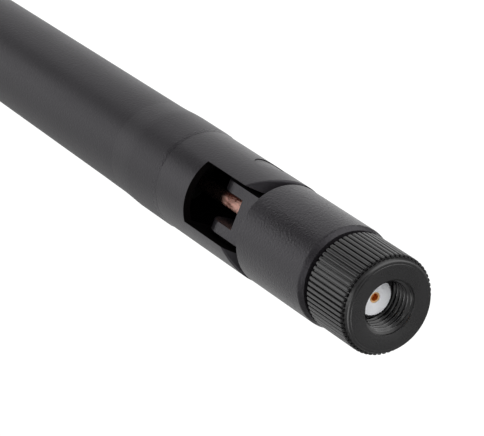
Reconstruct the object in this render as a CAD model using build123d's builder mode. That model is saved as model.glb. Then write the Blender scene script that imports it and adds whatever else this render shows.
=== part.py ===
from build123d import *
import os
from math import cos, pi, sin

# A wifi antenna that screws onto a threaded jack, turns on its plug and folds at a forked hinge.
# Its axis is X. Stations are millimetres along it from the plug's reference plane, and grow
# towards the tip, which points to -X. The hinge's window faces -Y and its pins lie along Z.
os.makedirs("parts", exist_ok=True)

# Fits
snug = 0.01
running_fit = 0.05
side_play = 0.04
face_gap = 0.25

# Coupling thread, 1/4-36
thread_pitch = 25.4 / 36
thread_turns = 3.7
thread_minor_r = 2.83
thread_mouth_r = 3.37
thread_mouth_depth = 0.45
thread_relief_r = 3.35

# Coupling nut
nut_reach = 3.0
nut_length = 8.2
nut_collar_r = 5.53
nut_collar_length = 0.82
nut_edge = 0.12
nut_groove_r = 5.15
nut_groove_width = 0.08
nut_rear_r = 5.2
nut_rear_length = 0.45
knurl_r = 6.03
knurl_depth = 0.28
knurl_teeth = 60
knurl_end_chamfer = 0.15

# Plug inside the nut
ferrule_wall = 0.2
ferrule_length = 1.9
insulator_r = 2.15
insulator_front_length = 4.0
insulator_rear_r = 1.3
insulator_rear_length = 3.6
contact_r = 0.635
contact_hole_r = 0.45
contact_hole_depth = 3.0
contact_length = 7.2
contact_recess = 0.05
solder_cup_depth = 1.2
plug_collar_r = 2.9
retaining_ring_station = 2.6
retaining_ring_width = 0.5
retaining_ring_depth = 0.45
retaining_ring_height = 0.65
retaining_ring_split = 1.2

# Swivel barrel inside the knuckle
barrel_r = 2.55
barrel_length = 7.2
snap_ring_station = 7.2
snap_ring_width = 0.6
snap_ring_depth = 0.4
snap_ring_height = 0.75
snap_ring_split = 1.4
o_ring_station = 10.2
o_ring_section_r = 0.5
o_ring_squeeze = 0.03
tail_r = 0.8
tail_length = 4.0
crimp_wall = 0.35
crimp_length = 4.8

# Coax
conductor_r = 0.15
insulation_r = 0.42
braid_thickness = 0.2
jacket_thickness = 0.26
braid_flare_length = 0.8
jacket_start = 18.0
jacket_end = 78.0
solder_ring_station = 81.0
solder_ring_length = 2.0
insulation_past_braid = 3.6
conductor_past_insulation = 1.6

# Knuckle
knuckle_r = 6.3
knuckle_length = 14.35
knuckle_taper_length = 0.75
knuckle_taper_depth = 0.34
knuckle_taper_blend = 0.6
knuckle_shoulder_edge = 0.35
knuckle_bore_depth = 13.0
hinge_height = 6.7
tongue_half_thickness = 3.85
tongue_half_width = 3.18
tongue_root_fillet = 0.3
ear_gap = 3.8
web_height = 4.27
web_thickness = 1.1
web_floor = 0.6
neck_bore_r = 1.35

# Hinge fork
fork_r = 6.4
fork_stop_gap = 0.15
arm_end_r = 7.85
arm_end_relief = 0.18
arm_end_offset = 0.98
arm_end_edge = 0.3
window_width = 7.75
window_past_pivot = 4.95
window_corner_r = 0.4
fork_back_wall = 1.75
fork_collar_length = 7.1
fork_core_r = 4.3
fork_core_mouth_r = 5.5
fork_core_mouth_length = 5.0
seam_chamfer = 0.07
spigot_r = 5.15
spigot_length = 7.0
boss_r = 2.6
boss_height = 0.3
pin_r = 1.15
pin_head_r = 2.0
pin_head_thickness = 0.9
pin_flush = 0.1
pin_chamfer = 0.12
washer_r = 2.3
washer_thickness = 0.3

# Cover
cover_base_r = 6.5
cover_base_length = 5.9
cover_waist_r = 6.3
cover_waist_length = 4.6
cover_tip_r = 5.43
cover_end_gap = 3.19
cover_tip_edge = 2.2
cover_wall = 1.1
cover_tip_wall = 1.6
socket_depth = 7.6

# Radiator
sleeve_r = 2.5
sleeve_wall = 0.3
sleeve_length = 26.0
radiator_r = 0.6
lower_wire_length = 31.0
coil_r = 1.9
coil_pitch = 2.4
coil_turns = 4
upper_wire_length = 60.0
shrink_wall = 0.25
shrink_overlap = 3.5
shrink_cone_length = 4.5
shrink_neck_length = 8.0
foam_from_end = 12.0
foam_length = 9.0
grommet_length = 3.5

# Stations worked out from the sizes above
nut_front = -nut_reach
nut_back = nut_front + nut_length
thread_start = nut_front + thread_mouth_depth
thread_end = thread_start + thread_turns * thread_pitch
knurl_start = nut_front + nut_collar_length + nut_groove_width
knurl_end = nut_back - nut_rear_length
knurl_root_r = knurl_r - knurl_depth
ferrule_r = insulator_r + ferrule_wall
insulator_end = insulator_front_length + insulator_rear_length
knuckle_front = nut_back + face_gap
shoulder = knuckle_front + knuckle_length
pivot = shoulder + hinge_height
plug_collar_end = knuckle_front - side_play
barrel_end = plug_collar_end + barrel_length
tail_end = barrel_end + tail_length
braid_r = insulation_r + braid_thickness
jacket_r = braid_r + snug + jacket_thickness
braid_end = solder_ring_station + solder_ring_length
insulation_end = braid_end + insulation_past_braid
conductor_end = insulation_end + conductor_past_insulation
ear_slot_floor = shoulder + web_height
fork_start = shoulder + fork_stop_gap
window_end = pivot + window_past_pivot
seam = window_end + fork_collar_length
spigot_end = seam + spigot_length
sleeve_start = braid_end - sleeve_length
radiator_start = insulation_end + snug
coil_start = radiator_start + lower_wire_length
coil_end = coil_start + coil_turns * coil_pitch
radiator_end = coil_end + upper_wire_length
cover_tip = radiator_end + cover_end_gap + cover_tip_wall

# The side plane holds sections along the antenna: first axis to the tip, second to the window.
side = Plane(origin=(0, 0, 0), x_dir=(-1, 0, 0), z_dir=(0, 0, 1))


def across(station):
    """The plane across the antenna at a station: first axis to the window, second upwards."""
    return Plane(origin=(-station, 0, 0), x_dir=(0, -1, 0), z_dir=(-1, 0, 0))


def half_section(*corners):
    """The half section of a turned form, as (station, radius) corners beside the axis."""
    with BuildSketch(side) as section:
        with BuildLine():
            Polyline(*corners, close=True)
        make_face()
    return section.sketch


def tube_section(start, end, inner_r, outer_r):
    """The half section of a plain tube, or of a rod where the inner radius is nought."""
    return half_section((start, inner_r), (start, outer_r), (end, outer_r), (end, inner_r))


with BuildPart() as coupling_nut:
    # The straight knurl is one toothed outline, drawn along the nut and bevelled at both ends.
    with BuildSketch(across(knurl_start)):
        with BuildLine():
            tooth_angle = 2 * pi / knurl_teeth
            Polyline(
                *[
                    (radius * cos((tooth + part) * tooth_angle), radius * sin((tooth + part) * tooth_angle))
                    for tooth in range(knurl_teeth)
                    for part, radius in ((0, knurl_root_r), (0.36, knurl_r), (0.64, knurl_r))
                ],
                close=True,
            )
        make_face()
    extrude(amount=knurl_end - knurl_start)
    revolve(
        half_section(
            (knurl_start, 0),
            (knurl_start, knurl_r - knurl_end_chamfer),
            (knurl_start + knurl_end_chamfer, knurl_r + snug),
            (knurl_end - knurl_end_chamfer, knurl_r + snug),
            (knurl_end, knurl_r - knurl_end_chamfer),
            (knurl_end, 0),
        ),
        axis=Axis.X,
        mode=Mode.INTERSECT,
    )
    revolve(
        half_section(
            (nut_front, 0),
            (nut_front, nut_collar_r - nut_edge),
            (nut_front + nut_edge, nut_collar_r),
            (knurl_start - nut_groove_width, nut_collar_r),
            (knurl_start - nut_groove_width, nut_groove_r),
            (knurl_start, nut_groove_r),
            (knurl_start, 0),
        ),
        axis=Axis.X,
    )
    revolve(tube_section(knurl_end, nut_back, 0, nut_rear_r), axis=Axis.X)
    # The mouth, the threaded wall, the relief behind it and the neck that the ring pulls on.
    revolve(
        half_section(
            (nut_front - snug, 0),
            (nut_front - snug, thread_mouth_r),
            (nut_front, thread_mouth_r),
            (thread_start, thread_minor_r),
            (thread_end, thread_minor_r),
            (thread_end, thread_relief_r),
            (retaining_ring_station + retaining_ring_width + side_play, thread_relief_r),
            (retaining_ring_station + retaining_ring_width + side_play, plug_collar_r + running_fit),
            (nut_back + snug, plug_collar_r + running_fit),
            (nut_back + snug, 0),
        ),
        axis=Axis.X,
        mode=Mode.SUBTRACT,
    )
coupling_nut.part.label = "coupling_nut"

with BuildPart() as connector_body:
    revolve(
        half_section(
            (0, insulator_r + snug),
            (0, ferrule_r),
            (ferrule_length, ferrule_r),
            (ferrule_length, plug_collar_r),
            (plug_collar_end, plug_collar_r),
            (plug_collar_end, barrel_r),
            (barrel_end, barrel_r),
            (barrel_end, tail_r),
            (tail_end, tail_r),
            (tail_end, insulation_r + snug),
            (insulator_end + snug, insulation_r + snug),
            (insulator_end + snug, insulator_rear_r + snug),
            (insulator_front_length + snug, insulator_rear_r + snug),
            (insulator_front_length + snug, insulator_r + snug),
        ),
        axis=Axis.X,
    )
    for groove_station, groove_width, outer_r, groove_depth in (
        (retaining_ring_station, retaining_ring_width, plug_collar_r, retaining_ring_depth),
        (snap_ring_station, snap_ring_width, barrel_r, snap_ring_depth),
        (o_ring_station - o_ring_section_r, 2 * o_ring_section_r, barrel_r, 2 * o_ring_section_r),
    ):
        groove_start = groove_station - side_play / 2
        groove_end = groove_station + groove_width + side_play / 2
        groove_floor = outer_r - groove_depth
        revolve(
            tube_section(groove_start, groove_end, groove_floor, outer_r + snug),
            axis=Axis.X,
            mode=Mode.SUBTRACT,
        )
connector_body.part.label = "connector_body"

with BuildPart() as insulator:
    revolve(
        half_section(
            (0, contact_r + snug),
            (0, insulator_r),
            (insulator_front_length, insulator_r),
            (insulator_front_length, insulator_rear_r),
            (insulator_end, insulator_rear_r),
            (insulator_end, contact_r + snug),
        ),
        axis=Axis.X,
    )
insulator.part.label = "insulator"

contact_start = contact_recess
contact_end = contact_start + contact_length
with BuildPart() as centre_contact:
    # The mouth of the socket takes the jack's pin, and the cup behind it holds the coax's wire.
    revolve(
        half_section(
            (contact_start, contact_hole_r),
            (contact_start, contact_r),
            (contact_end, contact_r),
            (contact_end, conductor_r + snug),
            (contact_end - solder_cup_depth, conductor_r + snug),
            (contact_end - solder_cup_depth, 0),
            (contact_start + contact_hole_depth, 0),
            (contact_start + contact_hole_depth, contact_hole_r),
        ),
        axis=Axis.X,
    )
centre_contact.part.label = "centre_contact"

with BuildPart() as retaining_ring:
    ring_floor = plug_collar_r - retaining_ring_depth + snug
    ring_end = retaining_ring_station + retaining_ring_width
    revolve(
        tube_section(retaining_ring_station, ring_end, ring_floor, ring_floor + retaining_ring_height),
        axis=Axis.X,
    )
    with BuildSketch(across(retaining_ring_station)):
        with Locations((0, -plug_collar_r)):
            Rectangle(retaining_ring_split, 2 * retaining_ring_height)
    extrude(amount=retaining_ring_width, mode=Mode.SUBTRACT)
retaining_ring.part.label = "retaining_ring"

with BuildPart() as snap_ring:
    snap_floor = barrel_r - snap_ring_depth + snug
    snap_end = snap_ring_station + snap_ring_width
    revolve(
        tube_section(snap_ring_station, snap_end, snap_floor, snap_floor + snap_ring_height),
        axis=Axis.X,
    )
    with BuildSketch(across(snap_ring_station)):
        with Locations((0, barrel_r)):
            Rectangle(snap_ring_split, 2 * snap_ring_height)
    extrude(amount=snap_ring_width, mode=Mode.SUBTRACT)
snap_ring.part.label = "snap_ring"

with BuildPart() as friction_o_ring:
    with BuildSketch(side):
        with Locations((o_ring_station, barrel_r - o_ring_section_r)):
            Circle(o_ring_section_r - o_ring_squeeze)
    revolve(axis=Axis.X)
friction_o_ring.part.label = "friction_o_ring"

crimp_start = barrel_end + 2 * snug
crimp_end = crimp_start + crimp_length
crimp_inner_r = tail_r + braid_thickness + 2 * snug
with BuildPart() as crimp_sleeve:
    revolve(tube_section(crimp_start, crimp_end, crimp_inner_r, crimp_inner_r + crimp_wall), axis=Axis.X)
crimp_sleeve.part.label = "crimp_sleeve"

with BuildPart() as cable_conductor:
    conductor_start = contact_end - solder_cup_depth + snug
    revolve(tube_section(conductor_start, conductor_end, 0, conductor_r), axis=Axis.X)
cable_conductor.part.label = "cable_conductor"

with BuildPart() as cable_insulation:
    insulation_start = insulator_end + 2 * snug
    revolve(
        tube_section(insulation_start, insulation_end, conductor_r + snug, insulation_r),
        axis=Axis.X,
    )
cable_insulation.part.label = "cable_insulation"

with BuildPart() as cable_braid:
    # The braid is opened at its end and slipped over the plug's tail, under the crimp sleeve.
    flare_inner_r = tail_r + snug
    revolve(
        half_section(
            (barrel_end + 2 * snug, flare_inner_r),
            (barrel_end + 2 * snug, flare_inner_r + braid_thickness),
            (tail_end, flare_inner_r + braid_thickness),
            (tail_end + braid_flare_length, braid_r),
            (braid_end, braid_r),
            (braid_end, insulation_r + snug),
            (tail_end + braid_flare_length, insulation_r + snug),
            (tail_end + snug, flare_inner_r),
        ),
        axis=Axis.X,
    )
cable_braid.part.label = "cable_braid"

with BuildPart() as cable_jacket:
    revolve(tube_section(jacket_start, jacket_end, braid_r + snug, jacket_r), axis=Axis.X)
cable_jacket.part.label = "cable_jacket"

with BuildPart() as knuckle:
    # The moulding draws in a little at its front, and its shoulder is rounded.
    taper_end = knuckle_front + knuckle_taper_length
    revolve(
        half_section(
            (knuckle_front, 0),
            (knuckle_front, knuckle_r - knuckle_taper_depth),
            (taper_end, knuckle_r),
            (shoulder, knuckle_r),
            (shoulder, 0),
        ),
        axis=Axis.X,
    )
    rims = edges().filter_by(GeomType.CIRCLE)
    fillet(rims.filter_by_position(Axis.X, -taper_end - snug, -taper_end + snug), knuckle_taper_blend)
    fillet(rims.sort_by(Axis.X)[0], knuckle_shoulder_edge)
    # The neck rises from the shoulder and ends in a half round about the pivot.
    with BuildSketch(side):
        with Locations(((shoulder + pivot) / 2 - snug, 0)):
            Rectangle(hinge_height + 2 * snug, 2 * tongue_half_thickness)
        with Locations((pivot, 0)):
            Circle(tongue_half_thickness)
    extrude(amount=tongue_half_width, both=True)
    fillet(
        edges().filter_by(GeomType.LINE).filter_by_position(Axis.X, -shoulder - snug, -shoulder + snug),
        tongue_root_fillet,
    )
    # The slot parts the neck into two ears above a web, and the web is open behind for the coax.
    with BuildSketch(side):
        with Locations(((ear_slot_floor + pivot + 2 * tongue_half_thickness) / 2, 0)):
            Rectangle(pivot + 2 * tongue_half_thickness - ear_slot_floor, 3 * tongue_half_thickness)
    extrude(amount=ear_gap / 2, both=True, mode=Mode.SUBTRACT)
    with BuildSketch(across(shoulder + web_floor)):
        Rectangle(2 * (tongue_half_thickness - web_thickness), ear_gap)
    extrude(amount=web_height, mode=Mode.SUBTRACT)
    with BuildSketch(side):
        with Locations((pivot, 0)):
            Circle(pin_r + running_fit)
    extrude(amount=2 * tongue_half_width, both=True, mode=Mode.SUBTRACT)
    # The bore turns on the plug's barrel, and its groove takes the snap ring.
    snap_groove_r = snap_floor + snap_ring_height + running_fit
    revolve(
        half_section(
            (knuckle_front - snug, 0),
            (knuckle_front - snug, barrel_r + running_fit),
            (snap_ring_station - side_play, barrel_r + running_fit),
            (snap_ring_station - side_play, snap_groove_r),
            (snap_ring_station + snap_ring_width + side_play, snap_groove_r),
            (snap_ring_station + snap_ring_width + side_play, barrel_r + running_fit),
            (knuckle_front + knuckle_bore_depth, barrel_r + running_fit),
            (knuckle_front + knuckle_bore_depth, neck_bore_r),
            (shoulder + web_height, neck_bore_r),
            (shoulder + web_height, 0),
        ),
        axis=Axis.X,
        mode=Mode.SUBTRACT,
    )
knuckle.part.label = "knuckle"

window_half_width = window_width / 2
pin_head_z = fork_r - pin_head_thickness
with BuildPart() as hinge_fork:
    revolve(
        half_section(
            (fork_start, 0),
            (fork_start, fork_r),
            (seam - seam_chamfer, fork_r),
            (seam, fork_r - seam_chamfer),
            (seam, spigot_r),
            (spigot_end, spigot_r),
            (spigot_end, 0),
        ),
        axis=Axis.X,
    )
    # On the window's side the arms end in a round, so that they swing clear of the shoulder.
    with BuildSketch(side):
        with Locations((fork_start + arm_end_relief + arm_end_r, -arm_end_offset)):
            Rectangle(2 * arm_end_r, 2 * arm_end_r, align=(Align.MAX, Align.MIN))
            Circle(arm_end_r, mode=Mode.SUBTRACT)
    extrude(amount=2 * fork_r, both=True, mode=Mode.SUBTRACT)
    fillet(
        edges(Select.LAST).filter_by(lambda edge: edge.geom_type not in (GeomType.LINE, GeomType.CIRCLE)),
        arm_end_edge,
    )
    # The window lets the neck through, and the back wall behind it stops the antenna when straight.
    with BuildSketch(side.offset(-window_half_width)):
        with BuildLine():
            Polyline(
                (shoulder - hinge_height, -(fork_r - fork_back_wall)),
                (window_end, -(fork_r - fork_back_wall)),
                (window_end, 2 * fork_r),
                (shoulder - hinge_height, 2 * fork_r),
                close=True,
            )
        make_face()
    extrude(amount=window_width, mode=Mode.SUBTRACT)
    fillet(
        edges().filter_by(Axis.Y).filter_by(
            lambda edge: abs(edge.center().X + window_end) < snug
            and abs(abs(edge.center().Z) - window_half_width) < snug
        ),
        window_corner_r,
    )
    # The core carries the coax from the window to the cover.
    revolve(
        half_section(
            (window_end - snug, 0),
            (window_end - snug, fork_core_mouth_r),
            (window_end + fork_core_mouth_length, fork_core_r),
            (spigot_end + snug, fork_core_r),
            (spigot_end + snug, 0),
        ),
        axis=Axis.X,
        mode=Mode.SUBTRACT,
    )
    # A boss on each arm carries the washer, and the pin's head lies in the arm's outer side.
    for direction in (1, -1):
        boss_plane = Plane(origin=(-pivot, 0, direction * window_half_width), z_dir=(0, 0, -direction))
        with BuildSketch(boss_plane):
            Circle(boss_r)
        extrude(amount=boss_height)
        with BuildSketch(Plane(origin=(-pivot, 0, direction * (pin_head_z - snug)), z_dir=(0, 0, direction))):
            Circle(pin_head_r + snug)
        extrude(amount=2 * pin_head_thickness, mode=Mode.SUBTRACT)
    with BuildSketch(side):
        with Locations((pivot, 0)):
            Circle(pin_r + snug)
    extrude(amount=fork_r, both=True, mode=Mode.SUBTRACT)
hinge_fork.part.label = "hinge_fork"

washer_seat = window_half_width - boss_height - snug
for direction, place in ((1, "upper"), (-1, "lower")):
    washer_plane = Plane(origin=(-pivot, 0, direction * washer_seat), z_dir=(0, 0, -direction))
    with BuildPart() as hinge_washer:
        with BuildSketch(washer_plane):
            Circle(washer_r)
            Circle(pin_r + snug, mode=Mode.SUBTRACT)
        extrude(amount=washer_thickness)
    hinge_washer.part.label = f"hinge_washer_{place}"
    export_step(hinge_washer.part, f"parts/hinge_washer_{place}.step")

    pin_inner_z = ear_gap / 2
    with BuildPart() as hinge_pin:
        with BuildSketch(Plane(origin=(-pivot, 0, direction * pin_inner_z), z_dir=(0, 0, direction))):
            Circle(pin_r)
        extrude(amount=pin_head_z - pin_inner_z)
        inner_rim = hinge_pin.edges().filter_by(GeomType.CIRCLE).sort_by(Axis.Z)[0 if direction > 0 else -1]
        chamfer(inner_rim, pin_chamfer)
        with BuildSketch(Plane(origin=(-pivot, 0, direction * pin_head_z), z_dir=(0, 0, direction))):
            Circle(pin_head_r)
        extrude(amount=pin_head_thickness)
        # The head follows the fork's round, a little below its surface.
        revolve(
            tube_section(pivot - fork_r, pivot + fork_r, 0, fork_r - pin_flush),
            axis=Axis.X,
            mode=Mode.INTERSECT,
        )
    hinge_pin.part.label = f"hinge_pin_{place}"
    export_step(hinge_pin.part, f"parts/hinge_pin_{place}.step")

with BuildPart() as cable_grommet:
    grommet_start = spigot_end - grommet_length
    revolve(
        tube_section(grommet_start, spigot_end, jacket_r + snug, fork_core_r - snug),
        axis=Axis.X,
    )
cable_grommet.part.label = "cable_grommet"

waist = seam + cover_base_length + cover_waist_length
cover_start = seam + snug
with BuildPart() as antenna_cover:
    # A thick foot at the seam, a hollow curve down to the waist, then one long straight taper.
    with BuildSketch(side):
        with BuildLine():
            Line((cover_start, spigot_r + snug), (cover_start, cover_base_r - seam_chamfer))
            Line((cover_start, cover_base_r - seam_chamfer), (cover_start + seam_chamfer, cover_base_r))
            Line((cover_start + seam_chamfer, cover_base_r), (seam + cover_base_length, cover_base_r))
            Spline(
                (seam + cover_base_length, cover_base_r),
                (waist, cover_waist_r),
                tangents=((1, 0), (cover_tip - waist, cover_tip_r - cover_waist_r)),
            )
            Line((waist, cover_waist_r), (cover_tip, cover_tip_r))
            Line((cover_tip, cover_tip_r), (cover_tip, 0))
            Line((cover_tip, 0), (cover_tip - cover_tip_wall, 0))
            Line((cover_tip - cover_tip_wall, 0), (cover_tip - cover_tip_wall, cover_tip_r - cover_wall))
            Line((cover_tip - cover_tip_wall, cover_tip_r - cover_wall), (waist, cover_waist_r - cover_wall))
            Line((waist, cover_waist_r - cover_wall), (seam + socket_depth, spigot_r + snug))
            Line((seam + socket_depth, spigot_r + snug), (cover_start, spigot_r + snug))
        make_face()
    revolve(axis=Axis.X)
    tip_edge = edges().filter_by(GeomType.CIRCLE).group_by(Axis.X)[0].sort_by(SortBy.RADIUS)[-1]
    fillet(tip_edge, cover_tip_edge)
antenna_cover.part.label = "antenna_cover"

with BuildPart() as solder_ring:
    revolve(
        tube_section(solder_ring_station, braid_end, braid_r + snug, sleeve_r - sleeve_wall - snug),
        axis=Axis.X,
    )
solder_ring.part.label = "solder_ring"

with BuildPart() as dipole_sleeve:
    revolve(tube_section(sleeve_start, braid_end, sleeve_r - sleeve_wall, sleeve_r), axis=Axis.X)
dipole_sleeve.part.label = "dipole_sleeve"

with BuildPart() as radiator:
    # One wire: a straight foot on the coax's wire, the phasing coil, and a straight upper length.
    revolve(tube_section(radiator_start, coil_start, 0, radiator_r), axis=Axis.X)
    revolve(
        tube_section(radiator_start - snug, conductor_end + snug, 0, conductor_r + snug),
        axis=Axis.X,
        mode=Mode.SUBTRACT,
    )
    revolve(tube_section(coil_end, radiator_end, 0, radiator_r), axis=Axis.X)
    with BuildLine() as coil_path:
        Helix(coil_pitch, coil_turns * coil_pitch, coil_r, center=(-coil_start, 0, 0), direction=(-1, 0, 0))
    with BuildSketch(Plane(origin=coil_path.line @ 0, z_dir=coil_path.line % 0)):
        Circle(radiator_r)
    sweep(path=coil_path.line, is_frenet=True)
    for station in (coil_start, coil_end):
        with BuildSketch(Plane(origin=(-station, 0, radiator_r), z_dir=(0, 0, -1))):
            Circle(radiator_r)
        extrude(amount=radiator_r + coil_r)
radiator.part.label = "radiator"

with BuildPart() as heat_shrink:
    shrink_start = braid_end - shrink_overlap
    cone_start = braid_end + snug
    cone_end = cone_start + shrink_cone_length
    neck_end = cone_end + shrink_neck_length
    shrink_in_r = sleeve_r + snug
    neck_in_r = radiator_r + snug
    revolve(
        half_section(
            (shrink_start, shrink_in_r),
            (shrink_start, shrink_in_r + shrink_wall),
            (cone_start, shrink_in_r + shrink_wall),
            (cone_end, neck_in_r + shrink_wall),
            (neck_end, neck_in_r + shrink_wall),
            (neck_end, neck_in_r),
            (cone_end, neck_in_r),
            (cone_start, shrink_in_r),
        ),
        axis=Axis.X,
    )
heat_shrink.part.label = "heat_shrink"

with BuildPart() as foam_spacer:
    foam_end = radiator_end - foam_from_end
    taper = (cover_waist_r - cover_tip_r) / (cover_tip - waist)
    foam_r = cover_waist_r - taper * (foam_end - waist) - cover_wall - side_play
    revolve(tube_section(foam_end - foam_length, foam_end, radiator_r + snug, foam_r), axis=Axis.X)
foam_spacer.part.label = "foam_spacer"

for piece in (
    coupling_nut,
    connector_body,
    insulator,
    centre_contact,
    retaining_ring,
    snap_ring,
    friction_o_ring,
    crimp_sleeve,
    cable_conductor,
    cable_insulation,
    cable_braid,
    cable_jacket,
    knuckle,
    hinge_fork,
    cable_grommet,
    antenna_cover,
    solder_ring,
    dipole_sleeve,
    radiator,
    heat_shrink,
    foam_spacer,
):
    export_step(piece.part, f"parts/{piece.part.label}.step")
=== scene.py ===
from math import cos, radians, sin, tau

import bmesh
import bpy
import numpy as np
from mathutils import Matrix, Vector


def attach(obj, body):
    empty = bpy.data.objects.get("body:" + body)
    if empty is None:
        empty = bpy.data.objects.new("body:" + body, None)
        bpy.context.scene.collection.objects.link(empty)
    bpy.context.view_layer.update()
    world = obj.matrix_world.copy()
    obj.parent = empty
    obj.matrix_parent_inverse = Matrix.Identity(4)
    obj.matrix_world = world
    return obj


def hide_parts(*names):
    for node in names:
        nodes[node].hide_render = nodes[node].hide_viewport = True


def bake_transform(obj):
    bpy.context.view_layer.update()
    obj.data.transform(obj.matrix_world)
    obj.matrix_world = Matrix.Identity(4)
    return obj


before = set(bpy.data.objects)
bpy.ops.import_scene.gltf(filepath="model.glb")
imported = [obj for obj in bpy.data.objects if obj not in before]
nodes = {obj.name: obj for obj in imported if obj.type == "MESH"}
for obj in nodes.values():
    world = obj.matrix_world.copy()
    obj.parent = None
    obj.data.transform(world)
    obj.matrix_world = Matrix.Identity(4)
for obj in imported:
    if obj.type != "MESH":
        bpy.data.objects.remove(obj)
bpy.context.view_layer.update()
MM = 0.001

# The camera looks down the antenna at its plug, as the photograph does, from in front of the
# hinge's window. A long lens keeps the tube's sides nearly parallel.
PHOTO_WIDTH = 484
FOCAL_PIXELS = 3141.6
SENSOR_WIDTH = 36.0
LOOK_AZIMUTH = radians(52.362)
LOOK_ELEVATION = radians(9.612)
LOOK_ROLL = radians(21.80)
LOOK_DISTANCE = 347.4 * MM
LOOK_AT = Vector((-8.947, -14.638, 3.087)) * MM

look = Vector(
    (
        -sin(LOOK_AZIMUTH) * cos(LOOK_ELEVATION),
        cos(LOOK_AZIMUTH) * cos(LOOK_ELEVATION),
        -sin(LOOK_ELEVATION),
    )
)
turn = look.to_track_quat("-Z", "Y").to_matrix() @ Matrix.Rotation(LOOK_ROLL, 3, "Z")
camera_data = bpy.data.cameras.new("camera")
camera_data.sensor_width = SENSOR_WIDTH
camera_data.lens = FOCAL_PIXELS / PHOTO_WIDTH * SENSOR_WIDTH
camera_data.clip_start = 10 * MM
camera_data.clip_end = 20
camera = bpy.data.objects.new("camera", camera_data)
camera.matrix_world = Matrix.Translation(LOOK_AT - LOOK_DISTANCE * look) @ turn.to_4x4()
bpy.context.scene.collection.objects.link(camera)
bpy.context.scene.camera = camera
bpy.context.scene.view_settings.view_transform = "Standard"

# Coupling nut: turned brass under a satin black plating, with the jack's thread cut in its mouth
# and a straight knurl round it. It turns freely on the plug, where a ring behind the thread holds
# it.
NUT_FRONT = -3.0
NUT_BACK = 5.2
NUT_COLLAR_RADIUS = 5.53
NUT_COLLAR_END = -2.34
NUT_COLLAR_REAR_RADIUS = 5.68
NUT_GROOVE_RADIUS = 5.15
COLLAR_BEVEL = 0.36
FACE_RIM = 0.04
FACE_RIM_DEPTH = 0.05
NUT_MOUTH_RADIUS = 3.34
NUT_MOUTH_END = -2.72
KNURL_START = -2.28
KNURL_END = 4.75
KNURL_ROOT_RADIUS = 5.71
KNURL_RADIUS = 6.03
KNURL_TEETH = 60
THREAD_PITCH = 25.4 / 36
THREAD_CREST_RADIUS = 2.83
THREAD_DEPTH = 0.38
THREAD_FLAT = 0.1
THREAD_START = -2.38
THREAD_END = 1.4
THREAD_RUNOUT = 0.25
THREAD_STEPS = 24
CUT_RADIUS = 3.24
CUT_START = -2.55
RELIEF_RADIUS = 3.35
RELIEF_END = 3.14
NECK_RADIUS = 2.95
NUT_REAR_RADIUS = 5.2


class Socket:
    """One socket of a node tree. Sums on it add Math nodes, and out adds any other node."""

    def __init__(self, tree, output):
        self.tree = tree
        self.output = output

    def out(self, kind, output=0, settings=None, **values):
        """Adds a node, with its settings and then its values or links, and gives one output."""
        made = self.tree.nodes.new(kind)
        for name, value in (settings or {}).items():
            setattr(made, name, value)
        for name, value in values.items():
            socket = made.inputs[int(name[1:]) if name[0] == "_" else name.replace("_", " ")]
            if isinstance(value, Socket):
                self.tree.links.new(value.output, socket)
            else:
                socket.default_value = value
        return Socket(self.tree, made.outputs[output])

    def maths(self, operation, *terms):
        values = {f"_{place}": term for place, term in enumerate(terms)}
        return self.out("ShaderNodeMath", settings={"operation": operation}, **values)

    def vector(self, operation, *terms, output="Vector"):
        values = {f"_{place}": term for place, term in enumerate(terms)}
        return self.out("ShaderNodeVectorMath", output, {"operation": operation}, **values)

    def smooth(self, low, high):
        """Nought below low and one above high, with a soft step between."""
        return self.out(
            "ShaderNodeMapRange",
            settings={"interpolation_type": "SMOOTHSTEP"},
            Value=self,
            From_Min=low,
            From_Max=high,
        )

    def shade(self, dark, pale):
        """A colour between two, by this mask."""
        shades = {"_6": (*dark, 1), "_7": (*pale, 1)}
        return self.out("ShaderNodeMix", 2, {"data_type": "RGBA"}, _0=self, **shades)

    def __add__(self, other):
        return self.maths("ADD", self, other)

    __radd__ = __add__

    def __mul__(self, other):
        return self.maths("MULTIPLY", self, other)

    __rmul__ = __mul__

    def __sub__(self, other):
        return self.maths("SUBTRACT", self, other)

    def __rsub__(self, other):
        return self.maths("SUBTRACT", other, self)

    def __truediv__(self, other):
        return self.maths("DIVIDE", self, other)


def finish_of(name, **constants):
    """A new finish with its constants: the material, its shader and the place on the piece."""
    material = bpy.data.materials.new(name)
    material.use_nodes = True
    shader = material.node_tree.nodes["Principled BSDF"]
    for socket, value in constants.items():
        shader.inputs[socket.replace("_", " ")].default_value = value
    return material, shader, Socket(material.node_tree, None).out("ShaderNodeTexCoord", "Object")


def feed(shader, **values):
    """Links what changes over the surface to the shader."""
    for name, value in values.items():
        value.tree.links.new(value.output, shader.inputs[name.replace("_", " ")])


def noise(place, grain, detail=2.0):
    """Noise about one half, with grains of a size in millimetres."""
    return place.out("ShaderNodeTexNoise", Vector=place, Scale=1 / (grain * MM), Detail=detail)


def bump(place, height, depth):
    """A normal from a height of nought to one that stands up by a depth in millimetres."""
    return place.out("ShaderNodeBump", Height=height, Distance=depth * MM)


def eased(corners, steps=3):
    """A section with each (station, radius, ease) corner rounded by its ease in millimetres."""
    rounded = []
    for place, (station, radius, *ease) in enumerate(corners):
        corner = np.array((station, radius))
        if not ease:
            rounded.append(tuple(corner))
            continue
        sides = []
        for neighbour in (corners[place - 1], corners[(place + 1) % len(corners)]):
            way = np.array(neighbour[:2]) - corner
            length = np.linalg.norm(way)
            sides.append(way / length * min(ease[0], 0.45 * length))
        for step in range(steps + 1):
            share = step / steps
            rounded.append(tuple(corner + (1 - share) ** 2 * sides[0] + share**2 * sides[1]))
    return rounded


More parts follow.
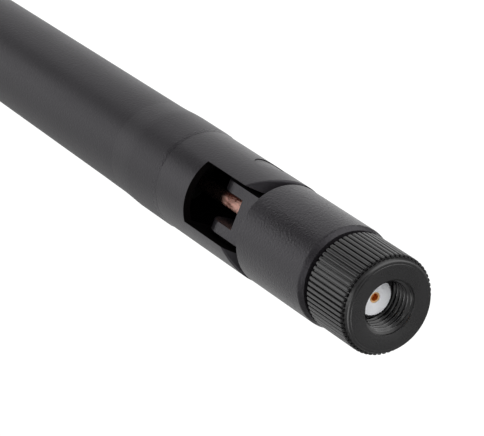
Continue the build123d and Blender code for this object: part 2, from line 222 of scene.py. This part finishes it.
def turned(name, section, material, slices=96, ring=True):
    """A solid turned from (station, radius) pairs in millimetres. A radius may follow the angle."""
    angles = np.arange(slices) * tau / slices
    mesh = bmesh.new()
    wrap = mesh.loops.layers.uv.new("wrap")
    rings = []
    for station, radius in section:
        radii = radius(angles) if callable(radius) else np.full(slices, radius)
        rings.append(
            [
                mesh.verts.new((-station * MM, r * cos(angle) * MM, r * sin(angle) * MM))
                for angle, r in zip(angles, radii)
            ]
        )
    spans = len(rings) if ring else len(rings) - 1
    for place in range(spans):
        near, far = rings[place], rings[(place + 1) % len(rings)]
        for slot in range(slices):
            after = (slot + 1) % slices
            face = mesh.faces.new((near[slot], near[after], far[after], far[slot]))
            stations = (section[place][0], section[(place + 1) % len(rings)][0])
            corners = ((slot, 0), (slot + 1, 0), (slot + 1, 1), (slot, 1))
            for loop, (turns, end) in zip(face.loops, corners):
                loop[wrap].uv = (turns / slices, stations[end] * MM)
    bmesh.ops.remove_doubles(mesh, verts=mesh.verts, dist=1e-8)
    bmesh.ops.recalc_face_normals(mesh, faces=mesh.faces)
    return settle(name, mesh, material)


def settle(name, mesh, material):
    """Puts a finished mesh in the scene, smooth but for its sharp edges."""
    data = bpy.data.meshes.new(name)
    mesh.to_mesh(data)
    mesh.free()
    data.shade_smooth()
    data.set_sharp_from_angle(angle=radians(35))
    data.materials.append(material)
    piece = bpy.data.objects.new(name, data)
    bpy.context.scene.collection.objects.link(piece)
    return piece


def wear(material, *names):
    """Gives pieces of the frame that stay in view their finish."""
    for name in names:
        nodes[name].data.materials.clear()
        nodes[name].data.materials.append(material)


def grow(name, sizes, material, build):
    """One plain mesh from a Geometry Nodes tree, with its sizes as named inputs."""
    tree = bpy.data.node_groups.new(name, "GeometryNodeTree")
    tree.interface.new_socket("Geometry", in_out="OUTPUT", socket_type="NodeSocketGeometry")
    keys = {}
    for size, value in {**sizes, "Material": material}.items():
        kind = {int: "Int", float: "Float"}.get(type(value), "Material")
        entry = tree.interface.new_socket(size, in_out="INPUT", socket_type=f"NodeSocket{kind}")
        keys[size] = entry.identifier
    outputs = tree.nodes.new("NodeGroupInput").outputs
    given = {socket.name: Socket(tree, socket) for socket in outputs if socket.name}
    made = build(given)
    plain = made.out("GeometryNodeRealizeInstances", Geometry=made)
    dressed = made.out("GeometryNodeSetMaterial", Geometry=plain, Material=given["Material"])
    tree.links.new(dressed.output, tree.nodes.new("NodeGroupOutput").inputs[0])
    piece = bpy.data.objects.new(name, bpy.data.meshes.new(name))
    bpy.context.scene.collection.objects.link(piece)
    modifier = piece.modifiers.new(name, "NODES")
    modifier.node_group = tree
    for size, value in {**sizes, "Material": material}.items():
        modifier[keys[size]] = value
    evaluated = piece.evaluated_get(bpy.context.evaluated_depsgraph_get())
    grown = bpy.data.meshes.new_from_object(evaluated)
    piece.modifiers.remove(modifier)
    piece.data = grown
    grown.shade_smooth()
    grown.set_sharp_from_angle(angle=radians(40))
    return piece


def thread_radius(station):
    """How far the thread's groove stands from the axis round the nut's mouth, at one station."""

    def radius(angles):
        phase = (station / THREAD_PITCH + angles / tau) % 1.0
        straight = np.clip((1 - THREAD_FLAT - np.abs(2 * phase - 1)) / (1 - 2 * THREAD_FLAT), 0, 1)
        groove = 0.5 * straight + 0.5 * straight**2 * (3 - 2 * straight)
        runout = min(1, (THREAD_END - station) / THREAD_RUNOUT)
        cut = THREAD_CREST_RADIUS + THREAD_DEPTH * groove * runout
        lead = (THREAD_START - station) / (THREAD_START - NUT_MOUTH_END)
        mouth = THREAD_CREST_RADIUS + (NUT_MOUTH_RADIUS - THREAD_CREST_RADIUS) * min(1, lead)
        return np.maximum(cut, mouth)

    return radius


def plated(name, index, roughness):
    """Black plating that mirrors by its index, and the more sharply the less rough it is."""
    material, shader, place = finish_of(name, IOR=index)
    grain = noise(place, 0.11)
    patches = noise(place, 3.0, 3.0)
    feed(
        shader,
        Base_Color=patches.shade((0.0035, 0.0033, 0.0036), (0.0075, 0.007, 0.0076)),
        Roughness=roughness + 0.16 * (grain - 0.5) + 0.1 * (patches - 0.5),
        Normal=bump(place, grain, 0.006),
    )
    return material


black_plating = plated("black_plating", 1.75, 0.3)
cut_plating = plated("cut_plating", 2.0, 0.13)

nut_section = eased(
    [
        (NUT_FRONT, NUT_MOUTH_RADIUS, 0.04),
        (NUT_FRONT, NUT_COLLAR_RADIUS - COLLAR_BEVEL - FACE_RIM),
        (NUT_FRONT + FACE_RIM_DEPTH, NUT_COLLAR_RADIUS - COLLAR_BEVEL),
        (NUT_FRONT, NUT_COLLAR_RADIUS, COLLAR_BEVEL),
        (NUT_COLLAR_END, NUT_COLLAR_REAR_RADIUS, 0.03),
        (NUT_COLLAR_END, NUT_GROOVE_RADIUS),
        (KNURL_START, NUT_GROOVE_RADIUS),
        (KNURL_START, KNURL_ROOT_RADIUS, 0.03),
        (KNURL_END, KNURL_ROOT_RADIUS, 0.05),
        (KNURL_END, NUT_REAR_RADIUS),
        (NUT_BACK, NUT_REAR_RADIUS, 0.1),
        (NUT_BACK, NECK_RADIUS, 0.05),
        (RELIEF_END, NECK_RADIUS),
        (RELIEF_END, RELIEF_RADIUS),
        (THREAD_END, RELIEF_RADIUS),
    ]
)
nut_section += [
    (station, thread_radius(station))
    for station in np.arange(THREAD_END, NUT_FRONT + FACE_RIM_DEPTH, -THREAD_PITCH / THREAD_STEPS)
]
nut = turned("nut", nut_section, black_plating, slices=192)
nut.data.materials.append(cut_plating)
for face in nut.data.polygons:
    if face.center.yz.length < CUT_RADIUS * MM and face.center.x < -CUT_START * MM:
        face.material_index = 1
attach(nut, "nut")
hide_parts("coupling_nut")


def knurl_ridges(given):
    """Straight ridges round the nut: half-buried bars with rounded edges and bevelled ends."""
    start = given["Start"]
    line = start.out(
        "GeometryNodeCurvePrimitiveLine",
        Start=start.out("ShaderNodeCombineXYZ", X=-1 * start),
        End=start.out("ShaderNodeCombineXYZ", X=-1 * given["End"]),
    )
    bar = start.out("GeometryNodeResampleCurve", Curve=line, Count=given["Rings"])
    along = start.out("GeometryNodeSplineParameter", "Length")
    run = given["End"] - start
    from_end = start.maths("MINIMUM", along, run - along) / given["Bevel"]
    fill = given["End Share"] + (1 - given["End Share"]) * start.maths("MINIMUM", from_end, 1.0)
    outline = start.out(
        "GeometryNodeFilletCurve",
        settings={"mode": "POLY"},
        Curve=start.out(
            "GeometryNodeCurvePrimitiveQuadrilateral",
            Width=given["Width"],
            Height=given["Height"] * 2,
        ),
        Count=given["Edge Steps"],
        Radius=given["Edge Radius"],
    )
    ridge = start.out(
        "GeometryNodeTransform",
        Geometry=start.out(
            "GeometryNodeCurveToMesh", Curve=bar, Profile_Curve=outline, Scale=fill, Fill_Caps=True
        ),
        Translation=start.out("ShaderNodeCombineXYZ", Z=given["Root Radius"]),
    )
    number = start.out("GeometryNodeInputIndex")
    return start.out(
        "GeometryNodeInstanceOnPoints",
        Points=start.out("GeometryNodePoints", Count=given["Teeth"]),
        Instance=ridge,
        Rotation=start.out("ShaderNodeCombineXYZ", X=number * tau / given["Teeth"]),
    )


knurl = grow(
    "knurl",
    {
        "Teeth": KNURL_TEETH,
        "Start": KNURL_START * MM,
        "End": KNURL_END * MM,
        "Root Radius": KNURL_ROOT_RADIUS * MM,
        "Height": (KNURL_RADIUS - KNURL_ROOT_RADIUS) * MM,
        "Width": 0.45 * MM,
        "Edge Radius": 0.13 * MM,
        "Edge Steps": 3,
        "Bevel": 0.12 * MM,
        "End Share": 0.84,
        "Rings": 60,
    },
    black_plating,
    knurl_ridges,
)
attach(knurl, "nut")

# Plug: the black plated body with its ferrule inside the nut, the spring steel rings that hold the
# nut and the knuckle on it, the rubber ring that makes the knuckle hold its turn, and the brass
# sleeve that crimps the coax's braid to its tail.
wear(black_plating, "connector_body")

spring_steel, shader, place = finish_of("spring_steel", Metallic=1.0)
drawn = place.out("ShaderNodeTexWave", Vector=place, Scale=9000.0, Distortion=2.0)
feed(
    shader,
    Base_Color=noise(place, 0.8).shade((0.42, 0.42, 0.43), (0.56, 0.56, 0.57)),
    Roughness=0.24 + 0.2 * noise(place, 0.3),
    Normal=bump(place, drawn, 0.002),
)
wear(spring_steel, "retaining_ring", "snap_ring")

black_rubber, shader, place = finish_of("black_rubber", IOR=1.45)
feed(
    shader,
    Base_Color=noise(place, 0.6).shade((0.012, 0.012, 0.012), (0.024, 0.023, 0.023)),
    Roughness=0.55 + 0.2 * noise(place, 0.2),
    Normal=bump(place, noise(place, 0.08), 0.004),
)
wear(black_rubber, "friction_o_ring", "cable_grommet")

bare_brass, shader, place = finish_of("bare_brass", Metallic=1.0)
tarnish = noise(place, 2.5, 4.0)
drawn = place.out("ShaderNodeTexWave", Vector=place, Scale=6000.0, Distortion=3.0)
feed(
    shader,
    Base_Color=tarnish.shade((0.5, 0.33, 0.13), (0.74, 0.56, 0.27)),
    Roughness=0.22 + 0.25 * tarnish,
    Normal=bump(place, drawn, 0.0015),
)
wear(bare_brass, "crimp_sleeve", "dipole_sleeve", "radiator")

# Insulator: turned white fluoropolymer, pushed into the ferrule from the front, with the contact
# pressed through it. The cutting tool leaves fine rings on its face.
INSULATOR_RADIUS = 2.15
INSULATOR_BORE = 0.645
INSULATOR_STEP = 4.0
INSULATOR_REAR_RADIUS = 1.3
INSULATOR_END = 7.6
TOOL_RING_PITCH = 0.09

fluoropolymer_white, shader, place = finish_of(
    "fluoropolymer_white",
    IOR=1.38,
    Subsurface_Weight=0.15,
    Subsurface_Radius=(0.6 * MM, 0.6 * MM, 0.6 * MM),
)
out_from_axis = place.vector("LENGTH", place.vector("MULTIPLY", place, (0, 1, 1)), output="Value")
turns_out = out_from_axis * (tau / (TOOL_RING_PITCH * MM))
tool_rings = turns_out.maths("SINE", turns_out)
feed(
    shader,
    Base_Color=noise(place, 0.9, 3.0).shade((0.7, 0.71, 0.73), (0.82, 0.83, 0.85)),
    Roughness=0.36 + 0.12 * noise(place, 0.2),
    Normal=bump(place, 0.5 + 0.25 * tool_rings + 0.5 * noise(place, 0.15), 0.004),
)
insulator = turned(
    "ptfe_insulator",
    eased(
        [
            (0, INSULATOR_BORE, 0.04),
            (0, INSULATOR_RADIUS, 0.1),
            (INSULATOR_STEP, INSULATOR_RADIUS, 0.1),
            (INSULATOR_STEP, INSULATOR_REAR_RADIUS),
            (INSULATOR_END, INSULATOR_REAR_RADIUS, 0.05),
            (INSULATOR_END, INSULATOR_BORE),
        ]
    ),
    fluoropolymer_white,
)
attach(insulator, "plug")
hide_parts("insulator")

# Centre contact: a turned beryllium copper socket, gold plated all over, that takes the jack's pin.
# Its mouth is countersunk to lead the pin in, and the coax's wire is soldered in the cup behind.
CONTACT_START = 0.05
CONTACT_END = 7.25
CONTACT_RADIUS = 0.635
CONTACT_HOLE_RADIUS = 0.43
CONTACT_HOLE_END = 0.8
DRILL_POINT = 0.2
CUP_START = 6.05
CUP_RADIUS = 0.16
RIM_DEPTH = 0.06
HOLE_DEPTH = 0.16

gold_plating, shader, place = finish_of("gold_plating", Metallic=0.55)
worn = noise(place, 0.25)
depth_in = place.out("ShaderNodeSeparateXYZ", "X", Vector=place) * -1
# Deeper into the hole the gold is painted darker and redder: painted shade in the hollow.
painted_shade_in_hole = depth_in.smooth(RIM_DEPTH * MM, HOLE_DEPTH * MM)
feed(
    shader,
    Base_Color=painted_shade_in_hole.shade((1.0, 0.62, 0.28), (0.7, 0.2, 0.02)),
    Roughness=0.3 + 0.2 * worn,
    Normal=bump(place, worn, 0.002),
)
contact = turned(
    "gold_contact",
    eased(
        [
            (CONTACT_START, CONTACT_HOLE_RADIUS, 0.09),
            (CONTACT_START, CONTACT_RADIUS, 0.06),
            (CONTACT_END, CONTACT_RADIUS, 0.06),
            (CONTACT_END, CUP_RADIUS, 0.03),
            (CUP_START, CUP_RADIUS),
            (CUP_START, 0),
            (CONTACT_HOLE_END + DRILL_POINT, 0),
            (CONTACT_HOLE_END, CONTACT_HOLE_RADIUS),
        ]
    ),
    gold_plating,
    slices=48,
)
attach(contact, "plug")
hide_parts("centre_contact")

# Knuckle, hinge fork, pins, washers and cover: all moulded in one black plastic, satin outside with
# the fine grain of a spark-eroded mould; inside the fork's window and bore it is painted near black
# and matt as shade.
CORE_REACH = 5.95
WINDOW_HALF_WIDTH = 3.875
WINDOW_END = 31.45
BACK_WALL = 4.65
EDGE_BLUR = 0.06
CORE_BLUR = 0.3


def moulded(name, roughness, grain_depth=0.03):
    """The moulded pieces' outer finish: the material, its shader and the place on the piece."""
    material, shader, place = finish_of(name, IOR=1.5, Specular_Tint=(0.955, 0.93, 1, 1))
    grain = noise(place, 0.24)
    pores = place.out("ShaderNodeTexVoronoi", Vector=place, Scale=1 / (0.3 * MM))
    sheen = noise(place, 9.0, 3.0)
    feed(
        shader,
        Base_Color=sheen.shade((0.0095, 0.0084, 0.0101), (0.0165, 0.0149, 0.0171)),
        Roughness=roughness + 0.14 * (grain - 0.5) + 0.1 * (sheen - 0.5),
        Normal=bump(place, 0.6 * grain + 0.4 * pores, grain_depth),
    )
    return material, shader, place


moulded_black, *_ = moulded("moulded_black", 0.3, 0.055)
wear(moulded_black, "knuckle", "hinge_pin_upper", "hinge_pin_lower")

cover_black, *_ = moulded("cover_black", 0.4)
wear(cover_black, "antenna_cover")

cored_black, shader, place = moulded("cored_black", 0.32)
beside_window = place.maths("ABSOLUTE", place.out("ShaderNodeSeparateXYZ", "Z", Vector=place))
beside_window = beside_window.smooth(WINDOW_HALF_WIDTH * MM, (WINDOW_HALF_WIDTH + EDGE_BLUR) * MM)
past_window = place.out("ShaderNodeSeparateXYZ", "X", Vector=place) * -1
past_window = past_window.smooth(WINDOW_END * MM, (WINDOW_END + EDGE_BLUR) * MM)
behind_window = place.out("ShaderNodeSeparateXYZ", "Y", Vector=place)
behind_window = behind_window.smooth(BACK_WALL * MM, (BACK_WALL + EDGE_BLUR) * MM)
out_from_axis = place.vector("LENGTH", place.vector("MULTIPLY", place, (0, 1, 1)), output="Value")
bored = past_window * (1 - out_from_axis.smooth(CORE_REACH * MM, (CORE_REACH + CORE_BLUR) * MM))
past_or_behind = place.maths("MAXIMUM", past_window, behind_window)
round_window = place.maths("MAXIMUM", beside_window, past_or_behind)
outside = round_window * (1 - bored)
# Inside the window and bore the plastic is painted near black, matt and almost without gloss:
# painted shade, as the plastic there is the same as outside.
painted_shade_bsdf = place.out(
    "ShaderNodeBsdfPrincipled",
    Base_Color=(0.0016, 0.0011, 0.0011, 1),
    Roughness=0.8,
    IOR=1.5,
    Specular_IOR_Level=0.06,
)
satin = Socket(place.tree, shader.outputs["BSDF"])
both = place.out("ShaderNodeMixShader", _0=outside, _1=painted_shade_bsdf, _2=satin)
place.tree.links.new(both.output, place.tree.nodes["Material Output"].inputs["Surface"])
wear(cored_black, "hinge_fork", "hinge_washer_upper", "hinge_washer_lower")

# Seam: the cover is welded onto the fork's spigot, and the bead of plastic that squeezes out fills
# the groove between them and is dressed to a faint ramp up to the wider cover.
BEAD_START = 37.9
BEAD_TOP = 38.6
BEAD_END = 38.66
BEAD_RADIUS = 6.488
FORK_RADIUS = 6.4
BEAD_SINK = 0.1
BEAD_TOE = 0.002
BEAD_FALL = 0.003

bead = turned(
    "seam_bead",
    [
        (BEAD_START, FORK_RADIUS - BEAD_SINK),
        (BEAD_START, FORK_RADIUS + BEAD_TOE),
        (BEAD_TOP, BEAD_RADIUS),
        (BEAD_END, BEAD_RADIUS - BEAD_FALL),
        (BEAD_END, FORK_RADIUS - BEAD_SINK),
    ],
    moulded_black,
    slices=128,
)
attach(bead, "antenna")

# Coax: a silver plated copper wire in white insulation, a woven braid and a clear brown jacket. It
# is bare between the hinge's ears, and each layer has close rings there, where the cable would
# bend.
CONDUCTOR = (6.07, 88.2, 0.0, 0.15)
INSULATION = (7.63, 86.6, 0.16, 0.42)
BRAID = (12.0, 83.0, 0.43, 0.62)
JACKET = (18.0, 78.0, 0.63, 0.89)
BEND_RINGS = np.arange(19.0, 34.0, 0.35)
END_BEVEL = 0.02
PAINTED_LIGHT_FULL = 28.0
FADE_START = 30.6
FADE_END = 32.2


def coax_layer(name, sizes, material, node):
    """One layer of the coax, straight, with close rings where it would bend."""
    start, end, inner, outer = sizes
    stations = [start, start + END_BEVEL, *BEND_RINGS, end - END_BEVEL, end]
    section = [(station, outer) for station in stations]
    section[0] = (start, outer - END_BEVEL)
    section[-1] = (end, outer - END_BEVEL)
    if inner:
        section += [(station, inner) for station in reversed(stations)]
    else:
        section = [(start, 0)] + section + [(end, 0)]
    layer = turned(name, section, material, slices=32, ring=inner > 0)
    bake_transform(layer)
    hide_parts(node)


def woven(wrap, strands, pitch):
    """The height of a braid: strands laid both ways round it, with their pitch in millimetres."""
    round_it = wrap.out("ShaderNodeSeparateXYZ", "X", Vector=wrap) * (strands * tau)
    along_it = wrap.out("ShaderNodeSeparateXYZ", "Y", Vector=wrap) * (tau / (pitch * MM))
    one_way = round_it.maths("SINE", round_it + along_it)
    other_way = round_it.maths("SINE", round_it - along_it)
    return 0.5 + 0.25 * (one_way + other_way)


plated_copper, shader, place = finish_of("plated_copper", Metallic=1.0)
wrap = place.out("ShaderNodeUVMap", settings={"uv_map": "wrap"})
weave = woven(wrap, 12, 0.4)
feed(
    shader,
    Base_Color=weave.shade((0.4, 0.36, 0.31), (0.8, 0.77, 0.72)),
    Roughness=0.3 + 0.1 * noise(place, 0.3),
    Normal=bump(place, weave, 0.03),
)

cable_brown, shader, place = finish_of("cable_brown", IOR=1.45, Coat_Roughness=0.06)
wrap = place.out("ShaderNodeUVMap", settings={"uv_map": "wrap"})
weave = woven(wrap, 8, 0.9)
# The jacket's colour carries painted light: it is painted brighter beside the web and painted
# darker on its upper side. Toward the tip, where it goes into the fork's bore, it is painted near
# black with its coat taken off: painted shade.
station = place.out("ShaderNodeSeparateXYZ", "X", Vector=place) * -1
painted_shade_to_tip = station.smooth(FADE_START * MM, FADE_END * MM)
painted_light_by_web = station.smooth(FADE_START * MM, PAINTED_LIGHT_FULL * MM)
painted_shade_on_top = place.out("ShaderNodeSeparateXYZ", "Z", Vector=place).smooth(0.0, 0.8 * MM)
# Stretched streaks: in the jacket's colour they are partly its own variation and partly painted
# glints; in the bump they are its real surface.
streaks_and_painted_glints = noise(place.vector("MULTIPLY", place, (0.35, 1, 1)), 0.35, 3.0)
tint = 0.2 * weave + 3.0 * streaks_and_painted_glints + 0.5 * painted_light_by_web - 0.7 * painted_shade_on_top - 1.1
brown_and_painted_light = tint.shade((0.16, 0.05, 0.035), (1.0, 0.58, 0.48))
feed(
    shader,
    Base_Color=place.out(
        "ShaderNodeMix",
        2,
        {"data_type": "RGBA"},
        _0=painted_shade_to_tip,
        _6=brown_and_painted_light,
        _7=(0.01, 0.006, 0.005, 1),
    ),
    Roughness=0.2 + 0.15 * noise(place, 0.4),
    Coat_Weight=1 - 0.85 * painted_shade_to_tip,
    Normal=bump(place, 0.3 * weave + 0.7 * streaks_and_painted_glints, 0.08),
)

coax_layer("coax_wire", CONDUCTOR, plated_copper, "cable_conductor")
coax_layer(
    "coax_insulation", INSULATION, fluoropolymer_white, "cable_insulation"
)
coax_layer("coax_braid", BRAID, plated_copper, "cable_braid")
coax_layer("coax_jacket", JACKET, cable_brown, "cable_jacket")

# Inside the cover: the braid is soldered to a brass sleeve, the radiator stands on the coax's wire
# under a shrunk tube, and a foam spacer keeps its upper end from rattling.
solder, shader, place = finish_of("solder", Metallic=1.0)
feed(
    shader,
    Base_Color=noise(place, 0.7).shade((0.45, 0.45, 0.46), (0.68, 0.68, 0.69)),
    Roughness=0.3 + 0.2 * noise(place, 0.4),
    Normal=bump(place, noise(place, 0.9), 0.06),
)
wear(solder, "solder_ring")

heat_shrink_black, shader, place = finish_of("heat_shrink_black", IOR=1.48)
feed(
    shader,
    Base_Color=noise(place, 1.5).shade((0.014, 0.014, 0.014), (0.026, 0.026, 0.026)),
    Roughness=0.38 + 0.16 * noise(place, 0.5),
    Normal=bump(place, noise(place, 1.2), 0.05),
)
wear(heat_shrink_black, "heat_shrink")

foam_grey, shader, place = finish_of("foam_grey", IOR=1.4)
cells = place.out("ShaderNodeTexVoronoi", Vector=place, Scale=1 / (0.6 * MM))
feed(
    shader,
    Base_Color=cells.smooth(0.1, 0.6).shade((0.14, 0.14, 0.145), (0.36, 0.36, 0.37)),
    Roughness=0.8 + 0.15 * noise(place, 0.5),
    Normal=bump(place, cells, 0.15),
)
wear(foam_grey, "foam_spacer")

# Studio: a plain pale floor under the antenna and plain soft light. The floor and the sky are
# white to the camera, and dimmer where they only light the antenna.
FLOOR_HEIGHT = -60 * MM
FLOOR_REACH = 4
# Each panel round the studio: where it hangs, how wide it is and how wide its soft edge, in
# degrees, and how much lighter or darker it is than the room.
STUDIO_PANELS = (
    ((-0.781, -0.49, 0.385), 6, 15, -0.7),
    ((-0.781, -0.62, -0.05), 6, 18, 0.5),
    ((-0.781, 0.587, 0.214), 10, 30, 0.2),
    ((0.45, -0.87, 0.2), 25, 48, -0.7),
    ((0.87, 0.0, 0.5), 20, 38, -0.5),
)
ROOM_STRENGTH = 0.78
LAMP_PLACE = Vector((0.1, 0.1, 0.7))
LAMP_AIM = Vector((-0.02, 0, 0))


def rays(place):
    """Whether a ray comes straight from the camera, and whether it comes by a mirror or glass."""
    straight = place.out("ShaderNodeLightPath", "Is Camera Ray")
    mirrored = place.out("ShaderNodeLightPath", "Is Glossy Ray")
    through = place.out("ShaderNodeLightPath", "Is Transmission Ray")
    return straight, place.maths("MAXIMUM", mirrored, through)


floor_mesh = bpy.data.meshes.new("floor")
corners = [(-FLOOR_REACH, -FLOOR_REACH), (FLOOR_REACH, -FLOOR_REACH)]
corners += [(FLOOR_REACH, FLOOR_REACH), (-FLOOR_REACH, FLOOR_REACH)]
floor_mesh.from_pydata([(x, y, FLOOR_HEIGHT) for x, y in corners], [], [(0, 1, 2, 3)])
floor = bpy.data.objects.new("floor", floor_mesh)
bpy.context.scene.collection.objects.link(floor)
pale_floor, shader, place = finish_of(
    "pale_floor", Base_Color=(0.18, 0.18, 0.18, 1), Roughness=0.9, Emission_Strength=1.0
)
seen, shown = rays(place)
# In the antenna the floor shows brighter to the front and the tip, with a bright patch under the
# nut's mouth.
toward_front = place.out("ShaderNodeSeparateXYZ", "Y", Vector=place) * -1
toward_tip = place.out("ShaderNodeSeparateXYZ", "X", Vector=place) * -1
beside_knuckle = 1 - toward_tip.smooth(98 * MM, 130 * MM)
lit_side = 0.28 + 0.25 * beside_knuckle + 0.75 * toward_front.smooth(-60 * MM, 230 * MM)
lit_side = lit_side * toward_tip.smooth(20 * MM, 90 * MM)
below_nut = toward_tip.smooth(8 * MM, -6 * MM) * (1 - toward_tip.smooth(-45 * MM, -75 * MM))
lit_side = lit_side + 1.6 * below_nut * toward_front.smooth(0, 40 * MM)
glow = 0.85 * seen + shown * lit_side
feed(shader, Emission_Color=(0.5 * glow).shade((0, 0, 0), (2, 2, 2)))
floor_mesh.materials.append(pale_floor)

world = bpy.data.worlds.new("studio")
world.use_nodes = True
bpy.context.scene.world = world
sky = Socket(world.node_tree, None)
seen, shown = rays(sky)
way = sky.out("ShaderNodeTexCoord", "Generated")
panels = ROOM_STRENGTH
for aim, full, edge, gain in STUDIO_PANELS:
    toward = way.vector("DOT_PRODUCT", way, Vector(aim).normalized(), output="Value")
    panels = panels + gain * toward.smooth(cos(radians(edge)), cos(radians(full)))
# A dark ring stands round the tip's end of the room, and what isn't a mirror is lit from ahead of
# the plug and from in front.
along = sky.out("ShaderNodeSeparateXYZ", "X", Vector=way)
panels = panels - 0.7 * along.smooth(-0.68, -0.56) * (1 - along.smooth(-0.42, -0.2))
ahead = along.smooth(0.1, 0.8)
in_front = (sky.out("ShaderNodeSeparateXYZ", "Y", Vector=way) * -1).smooth(0.72, 1.0)
strength = shown * panels + (1 - shown) * (0.5 + 1.7 * ahead + 2.2 * in_front)
strength = strength.maths("MAXIMUM", strength, seen)
world.node_tree.links.new(strength.output, world.node_tree.nodes["Background"].inputs["Strength"])
world.node_tree.nodes["Background"].inputs["Color"].default_value = (1, 1, 1, 1)

lamp = bpy.data.lights.new("overhead_box", "AREA")
lamp.size = 1.2
lamp.energy = 3.0
lamp_holder = bpy.data.objects.new("overhead_box", lamp)
lamp_turn = (LAMP_AIM - LAMP_PLACE).to_track_quat("-Z", "Y").to_matrix()
lamp_holder.matrix_world = Matrix.Translation(LAMP_PLACE) @ lamp_turn.to_4x4()
bpy.context.scene.collection.objects.link(lamp_holder)
